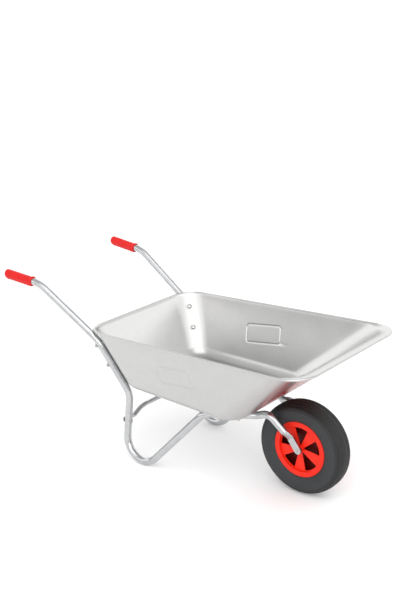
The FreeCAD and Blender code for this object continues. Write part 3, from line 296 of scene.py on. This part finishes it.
def new_piece(name, points, faces, material, body, smooth=True):
    """A mesh piece that rides on a body."""
    mesh = bpy.data.meshes.new(name)
    mesh.from_pydata(points, [], faces)
    mesh.validate()
    editable = bmesh.new()
    editable.from_mesh(mesh)
    bmesh.ops.recalc_face_normals(editable, faces=editable.faces)
    editable.to_mesh(mesh)
    editable.free()
    mesh.materials.append(material)
    for face in mesh.polygons:
        face.use_smooth = smooth
    piece = bpy.data.objects.new(name, mesh)
    bpy.context.scene.collection.objects.link(piece)
    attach(piece, body)
    return piece


def ring_faces(levels, count, closed=False):
    """Quads between rings of points, each ring closed on itself; closed joins the last to the first."""
    faces = []
    for level in range(levels if closed else levels - 1):
        above = (level + 1) % levels
        for n in range(count):
            after = (n + 1) % count
            faces.append((level * count + n, level * count + after,
                          above * count + after, above * count + n))
    return faces


def blend_points(a, b, share):
    """The point a share of the way from a to b."""
    return tuple(p + (q - p) * share for p, q in zip(a, b))


# ---------------------------------------------------------------- tray
# Sizes are in mm. The outlines are the outside of the tray's floor and of its edge.
FLOOR = {"rear": 680, "front": -157, "rear_half": 226, "front_half": 238,
         "rear_round": 72, "front_round": 72}
BRIM = {"rear": 797, "front": 185, "rear_half": 299, "front_half": 326,
        "rear_round": 85, "front_round": 95}
SPREAD = (BRIM["rear_half"] + BRIM["front_half"] - FLOOR["rear_half"] - FLOOR["front_half"]) / 2
SHEET_THICKNESS = 1.2
FLOOR_Z = 296
BRIM_REAR_Z = 523
BRIM_TILT = math.radians(3.27)
FLOOR_EDGE_RADIUS = 45
LIP_REACH = {"rear": 8, "side": 8, "front": 50}
LIP_DROP = 11
ROLL_RADIUS = 3.4
ROLL_INSET = 2.0
ROLL_TURN = math.radians(300)
EDGE_STEPS = 9
WALL_STEPS = 100
LIP_STEPS = 10
ROLL_STEPS = 16
CORNER_STEPS = 14

# The blank panel pressed into each side wall: its middle, half sizes, slant and raised border.
PANEL_X, PANEL_Z = -385, 432
PANEL_HALF = (78, 34)
PANEL_ROUND = 12
PANEL_SLANT = math.radians(8)
RIDGE_HALF = 3.6
RIDGE_RISE = 2.4


def brim_height(x):
    """The height of the brim's plane, which rises to the front."""
    return BRIM_REAR_Z + math.tan(BRIM_TILT) * (x + BRIM["rear"])


def side_stops():
    """Shares along a side wall, close together where the panel is pressed."""
    first, last, gap = 0.22, 0.65, 0.01
    coarse = [n / 22 for n in range(1, 22)]
    fine = [first + (last - first) * n / 170 for n in range(171)]
    return sorted([share for share in coarse if share < first - gap or share > last + gap] + fine)


END_STOPS = [n / 16 for n in range(1, 16)]
SIDE_STOPS = side_stops()
STOPS = [SIDE_STOPS, END_STOPS, [1 - share for share in reversed(SIDE_STOPS)], END_STOPS]


def outline(rear, front, rear_half, front_half, rear_round, front_round):
    """A long trapezium with round corners, as points with how far each is rear, side or front."""
    corners = [(-rear, -rear_half, rear_round, "rear", "side"),
               (front, -front_half, front_round, "side", "front"),
               (front, front_half, front_round, "front", "side"),
               (-rear, rear_half, rear_round, "side", "rear")]
    bends = []
    for n, (x, y, radius, come, leave) in enumerate(corners):
        corner = Vector((x, y))
        back = (Vector(corners[n - 1][:2]) - corner).normalized()
        ahead = (Vector(corners[(n + 1) % 4][:2]) - corner).normalized()
        half_angle = back.angle(ahead) / 2
        centre = corner + (back + ahead).normalized() * radius / math.sin(half_angle)
        start = corner + back * radius / math.tan(half_angle) - centre
        sweep = math.pi - 2 * half_angle
        bend = []
        for step in range(CORNER_STEPS + 1):
            turn = step / CORNER_STEPS
            spoke = Matrix.Rotation(sweep * turn, 2) @ start
            share = math.sin(turn * math.pi / 2) ** 2
            weights = {"rear": 0, "side": 0, "front": 0}
            weights[come] += 1 - share
            weights[leave] += share
            bend.append((*(centre + spoke), weights))
        bends.append(bend)
    points = []
    for n, bend in enumerate(bends):
        points += bend
        last, first = bend[-1], bends[(n + 1) % 4][0]
        for share in STOPS[n]:
            points.append((*blend_points(last[:2], first[:2], share), last[2]))
    return points


def wall_size(where):
    """How far out and how high the edge is from the foot of one wall."""
    if where == "side":
        edge_z = (brim_height(-BRIM["rear"]) + brim_height(BRIM["front"])) / 2
        return SPREAD, edge_z - FLOOR_Z
    sign = -1 if where == "rear" else 1
    return BRIM[where] - FLOOR[where], brim_height(sign * BRIM[where]) - FLOOR_Z


def wall_profile(where):
    """One wall from the floor to the rolled edge, as (out, share of the height, curl)."""
    reach, height = wall_size(where)
    wall_reach, wall_height = reach - LIP_REACH[where], height - LIP_DROP
    slope = math.atan2(wall_height, wall_reach)
    setback = FLOOR_EDGE_RADIUS * math.tan(slope / 2)
    profile = []
    for step in range(EDGE_STEPS + 1):
        angle = slope * step / EDGE_STEPS
        profile.append((-setback + FLOOR_EDGE_RADIUS * math.sin(angle),
                        FLOOR_EDGE_RADIUS * (1 - math.cos(angle)), 0))
    foot = profile[-1]
    top = (wall_reach, wall_height, 0)
    profile += [blend_points(foot, top, step / WALL_STEPS) for step in range(1, WALL_STEPS + 1)]
    level = LIP_DROP / math.tan(slope)
    control = (wall_reach + min(level, (LIP_REACH[where] - ROLL_INSET) * 0.6), height, 0)
    edge = (reach - ROLL_INSET, height, 0)
    for step in range(1, LIP_STEPS + 1):
        share = step / LIP_STEPS
        profile.append(blend_points(blend_points(top, control, share),
                                    blend_points(control, edge, share), share))
    for step in range(1, ROLL_STEPS + 1):
        turn = ROLL_TURN * step / ROLL_STEPS
        profile.append((edge[0] + ROLL_RADIUS * math.sin(turn), height,
                        ROLL_RADIUS * (math.cos(turn) - 1)))
    return [(out, z / height, curl) for out, z, curl in profile]


def panel_rise(x, z):
    """How far the side wall is pressed out at a place, for the blank panel's raised border."""
    along, up = x - PANEL_X, z - PANEL_Z
    u = along * math.cos(PANEL_SLANT) + up * math.sin(PANEL_SLANT)
    v = up * math.cos(PANEL_SLANT) - along * math.sin(PANEL_SLANT)
    du = abs(u) - PANEL_HALF[0] + PANEL_ROUND
    dv = abs(v) - PANEL_HALF[1] + PANEL_ROUND
    outside = math.hypot(max(du, 0), max(dv, 0)) + min(max(du, dv), 0) - PANEL_ROUND
    share = max(0.0, 1 - abs(outside) / RIDGE_HALF)
    return RIDGE_RISE * share * share * (3 - 2 * share)


def tray_outline(reach):
    """The tray's outline at one level, from how far out each of its walls is there."""
    side = reach["side"][0]
    share = min(max(side / SPREAD, 0), 1)
    over = side if side < 0 else max(0, side - SPREAD)
    sizes = {where: FLOOR[where] + reach[where][0] for where in ("rear", "front")}
    for name in ("rear_half", "front_half", "rear_round", "front_round"):
        sizes[name] = FLOOR[name] + (BRIM[name] - FLOOR[name]) * share + over
    return outline(**sizes)


def make_tray():
    """The pressed tray: floor, walls, turned lip and rolled edge in one sheet."""
    profiles = {where: wall_profile(where) for where in ("rear", "side", "front")}
    levels = len(profiles["side"])
    points = []
    for level in range(levels):
        reach = {where: profile[level] for where, profile in profiles.items()}
        for x, y, weights in tray_outline(reach):
            rise = sum(weights[where] * reach[where][1] for where in weights)
            curl = sum(weights[where] * reach[where][2] for where in weights)
            z = FLOOR_Z + rise * (brim_height(x) - FLOOR_Z) + curl
            if weights["side"] == 1:
                y += math.copysign(panel_rise(x, z), y)
            points.append(at(x, y, z))
    count = len(points) // levels
    faces = ring_faces(levels, count)
    faces.append(tuple(range(count)))
    tray = new_piece("pressed_tray", points, faces, SHEET, "frame")
    sheet = tray.modifiers.new("sheet", "SOLIDIFY")
    sheet.thickness = SHEET_THICKNESS * MM
    sheet.offset = -1 if tray.data.polygons[0].normal.z < 0.5 else 1
    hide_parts("tray")
    return tray


# ---------------------------------------------------------------- label
LABEL_START = 65
LABEL_LENGTH, LABEL_WIDTH, LABEL_THICKNESS = 290, 380, 0.4
LABEL_GAP = 0.3
LABEL_STRIPS = 24


def make_label():
    """A blank film on the outside of the front wall, following its slight curve."""
    wall = []
    for reach, rise, _ in wall_profile("front"):
        x = FLOOR["front"] + reach
        wall.append(Vector((x, 0, FLOOR_Z + rise * (brim_height(x) - FLOOR_Z))))
    foot = Vector((FLOOR["front"], 0, FLOOR_Z))
    covered = [p for p in wall if LABEL_START < (p - foot).length < LABEL_START + LABEL_LENGTH]
    way = (covered[-1] - covered[0]).normalized()
    out = Vector((way.z, 0, -way.x))
    inner = [p + out * LABEL_GAP for p in covered]
    outer = [p + out * (LABEL_GAP + LABEL_THICKNESS) for p in reversed(covered)]
    loop = inner + outer
    stops = [LABEL_WIDTH * (n / LABEL_STRIPS - 0.5) for n in range(LABEL_STRIPS + 1)]
    points = [at(p.x, y, p.z) for y in stops for p in loop]
    faces = ring_faces(len(stops), len(loop))
    faces.append(tuple(range(len(loop))))
    faces.append(tuple(range(len(points) - len(loop), len(points))))
    label = new_piece("blank_front_label", points, faces, LABEL, "frame", smooth=False)
    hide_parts("front_label")
    return label


# ---------------------------------------------------------------- tyre
CROWN_RADIUS = 175
CROWN_FALL = 16
CROWN_HALF_WIDTH = 46
TREAD_HALF_WIDTH = 42
RIB_COUNT = 5
RIB_PITCH = 9.0
GROOVE_DEPTH = 2.4
GROOVE_HALF = 1.5
RIB_BEVEL = 0.4
BEVEL_DROP = 0.6
GROOVE_DRAFT = 0.3
TYRE_STEPS = 144


def crown(y):
    """The tread's radius, which falls off to the shoulders."""
    return CROWN_RADIUS - CROWN_FALL * (y / CROWN_HALF_WIDTH) ** 3.2


def rib(middle):
    """One rib and the groove beyond it, as (radius, y)."""
    edge = RIB_PITCH / 2 - GROOVE_HALF
    far = RIB_PITCH / 2 + GROOVE_HALF
    stops = [(-edge + RIB_BEVEL, 0), (edge - RIB_BEVEL, 0), (edge, BEVEL_DROP),
             (edge + GROOVE_DRAFT, GROOVE_DEPTH), (far - GROOVE_DRAFT, GROOVE_DEPTH),
             (far, BEVEL_DROP)]
    return [(crown(middle + away) - depth, middle + away) for away, depth in stops]


def tyre_half_profile():
    """One half of the tyre's section, as (radius, y) from the middle of the tread and back inside."""
    tread = [point for n in range(RIB_COUNT) for point in rib(RIB_PITCH * (n + 0.5))]
    tread = [(radius, y) for radius, y in tread if y < TREAD_HALF_WIDTH]
    crease = [(157.5, 42.6), (156, 43.4), (154.2, 43.8), (152.4, 44.0), (151.6, 44.6), (151.0, 45.4)]
    side = [(148, 46.2), (142, 47.0), (134, 47.3), (126, 46.6), (118, 44.4), (112, 41.4),
            (108, 38.2)]
    bead = [(105.2, 35.4), (104.8, 34.2), (98.3, 33.9), (98.2, 29.0), (104, 29.6)]
    inside = [(112, 34.5), (124, 40.0), (140, 41.0), (152, 38.0), (162, 28.0), (168, 14.0)]
    return tread + crease + side + bead + inside


def make_tyre():
    """The ribbed tyre over its rim, turned round the axle."""
    half = tyre_half_profile()
    profile = half + [(radius, -y) for radius, y in reversed(half)]
    points = []
    for radius, y in profile:
        for n in range(TYRE_STEPS):
            angle = TAU * n / TYRE_STEPS
            away = Vector((radius * math.sin(angle), y, radius * math.cos(angle)))
            points.append(AXLE + away * MM)
    faces = ring_faces(len(profile), TYRE_STEPS, closed=True)
    tyre = new_piece("ribbed_tyre", points, faces, TYRE, "wheel")
    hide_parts("tyre")
    return tyre


# ---------------------------------------------------------------- grips
GRIP_LENGTH = 145.0
GRIP_RADIUS = 16.4
GRIP_BORE = 14.1
GRIP_END_WALL = 8.0
GRIP_NOSE = 9.0
NOSE_RADIUS = 9.6
NOSE_STEP = 0.98
FLANGE_RISE = 3.3
FLANGE_SETBACK = 4.0
FLANGE_HALF_WIDTH = 5.0
RIBS_FROM, RIBS_TO = 26.0, 122.0
RIBS_PITCH = 16.0
RIBS_DEPTH = 4.5
BELLY = 6.5
BELLY_RUN = 18.0
GRIP_STEPS = 48
GRIP_STATIONS = 96
GRIP_END = (-1217, 302, 663.3)
HANDLE_BEND = (-1039, 292, 651.5)


def grip_section(along):
    """The grip's radius and how far its ribbed underside stands out at a place along it."""
    radius = GRIP_RADIUS
    if along < GRIP_NOSE:
        radius *= math.sqrt(1 - ((GRIP_NOSE - along) / NOSE_RADIUS) ** 2) * NOSE_STEP
    flange = max(0.0, 1 - abs(along - (GRIP_LENGTH - FLANGE_SETBACK)) / FLANGE_HALF_WIDTH)
    radius += FLANGE_RISE * flange * flange * (3 - 2 * flange)
    below = BELLY * min(1.0, along / BELLY_RUN, (GRIP_LENGTH - along) / BELLY_RUN)
    if RIBS_FROM < along < RIBS_TO:
        below -= RIBS_DEPTH * math.sin((along - RIBS_FROM) / RIBS_PITCH * math.pi) ** 2
    return radius, below


def make_grip(name, node, end, way):
    """A moulded grip over the tube's end: round nose, ribs underneath, flange and blind bore."""
    across = way.cross(UP).normalized()
    above = across.cross(way).normalized()
    rings = [(GRIP_LENGTH * n / GRIP_STATIONS, *grip_section(GRIP_LENGTH * n / GRIP_STATIONS))
             for n in range(GRIP_STATIONS + 1)]
    rings += [(GRIP_LENGTH, GRIP_BORE, 0), (GRIP_END_WALL, GRIP_BORE, 0)]
    points = []
    for along, radius, below in rings:
        for n in range(GRIP_STEPS):
            angle = TAU * n / GRIP_STEPS
            reach = radius + below * max(0.0, -math.cos(angle)) ** 1.5
            spoke = across * math.sin(angle) + above * math.cos(angle)
            points.append(end + (way * along + spoke * reach) * MM)
    faces = ring_faces(len(rings), GRIP_STEPS)
    faces.append(tuple(range(GRIP_STEPS)))
    faces.append(tuple(range(len(points) - GRIP_STEPS, len(points))))
    grip = new_piece(name, points, faces, GRIP, "frame")
    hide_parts(node)
    return grip


def make_grips():
    """Both grips, mirrored across the middle."""
    for side, name in ((-1, "right"), (1, "left")):
        end = at(GRIP_END[0], side * GRIP_END[1], GRIP_END[2])
        bend = at(HANDLE_BEND[0], side * HANDLE_BEND[1], HANDLE_BEND[2])
        make_grip(f"{name}_moulded_grip", f"{name}_grip", end, (bend - end).normalized())


# ---------------------------------------------------------------- stage
# A white studio with a dark band low down its walls, and a softbox above and behind the camera.
SOFTBOX_WAY = (0.66, -0.55, 0.52)
WALL_GLOW = 2.1
SOFTBOX_GLOW = 3.6
SKYLIGHT_WAY = (-0.25, 0.35, -1)
FLOOR_SIZE_M = 60
CAMERA_LENS = 64.16
CAMERA_AZIMUTH = math.radians(38.79)
CAMERA_ELEVATION = math.radians(19.22)
CAMERA_DISTANCE_M = 4.0
CAMERA_TARGET = (AXLE.x - 0.483, 0, 0.6249)


def make_world():
    """The studio's walls as the metal mirrors them, and a plain white backdrop to look at."""
    world = bpy.data.worlds.new("studio")
    world.use_nodes = True
    tree = world.node_tree
    background = tree.nodes["Background"]
    way = add_node(tree, "ShaderNodeTexCoord").outputs["Generated"]
    height = add_node(tree, "ShaderNodeSeparateXYZ", Vector=way).outputs["Z"]
    walls = ramp(tree, height, (0.0, "#202020"), (0.07, "#343434"), (0.25, "#f4f4f4"),
                 (0.42, "#ffffff"), (0.62, "#a8a8a8"), (1.0, "#969696"))
    toward = add_node(tree, "ShaderNodeVectorMath", {"operation": "DOT_PRODUCT"}, i0=way,
                      i1=Vector(SOFTBOX_WAY).normalized())
    softbox = add_node(tree, "ShaderNodeMapRange", {"interpolation_type": "SMOOTHSTEP"},
                       Value=toward.outputs["Value"], From_Min=0.62, From_Max=1.0,
                       To_Min=WALL_GLOW, To_Max=SOFTBOX_GLOW)
    tree.links.new(walls, background.inputs["Color"])
    tree.links.new(softbox.outputs["Result"], background.inputs["Strength"])
    seen = add_node(tree, "ShaderNodeLightPath").outputs["Is Camera Ray"]
    backdrop = add_node(tree, "ShaderNodeBackground", Color=linear("#ffffff"), Strength=1.0)
    both = add_node(tree, "ShaderNodeMixShader", Fac=seen, i1=background.outputs["Background"],
                    i2=backdrop.outputs["Background"])
    tree.links.new(both.outputs["Shader"], tree.nodes["World Output"].inputs["Surface"])
    bpy.context.scene.world = world


def make_floor():
    """A plain pale floor."""
    bpy.ops.mesh.primitive_plane_add(size=FLOOR_SIZE_M)
    floor = bpy.context.object
    floor.name = "studio_floor"
    material, _, shader = new_material("studio_floor")
    shader.inputs["Base Color"].default_value = linear("#fafafa")
    shader.inputs["Roughness"].default_value = 0.9
    floor.data.materials.append(material)


def make_light():
    """One wide, soft light from overhead."""
    data = bpy.data.lights.new("skylight", "SUN")
    data.energy = 0.8
    data.angle = math.radians(50)
    light = bpy.data.objects.new("skylight", data)
    light.rotation_mode = "QUATERNION"
    light.rotation_quaternion = Vector(SKYLIGHT_WAY).to_track_quat("-Z", "Y")
    bpy.context.scene.collection.objects.link(light)


def make_camera():
    """The camera ahead of the wheelbarrow's right side, a little above it."""
    data = bpy.data.cameras.new("camera")
    data.lens = CAMERA_LENS
    data.sensor_width = 36
    camera = bpy.data.objects.new("camera", data)
    level = math.cos(CAMERA_ELEVATION)
    back = Vector((math.sin(CAMERA_AZIMUTH) * level, -math.cos(CAMERA_AZIMUTH) * level,
                   math.sin(CAMERA_ELEVATION)))
    camera.location = Vector(CAMERA_TARGET) + back * CAMERA_DISTANCE_M
    camera.rotation_mode = "QUATERNION"
    camera.rotation_quaternion = (-back).to_track_quat("-Z", "Y")
    bpy.context.scene.collection.objects.link(camera)
    bpy.context.scene.camera = camera


# ---------------------------------------------------------------- the scene
make_tray()
make_label()
make_tyre()
make_grips()
bpy.context.scene.view_settings.view_transform = "Standard"
make_world()
make_floor()
make_light()
make_camera()
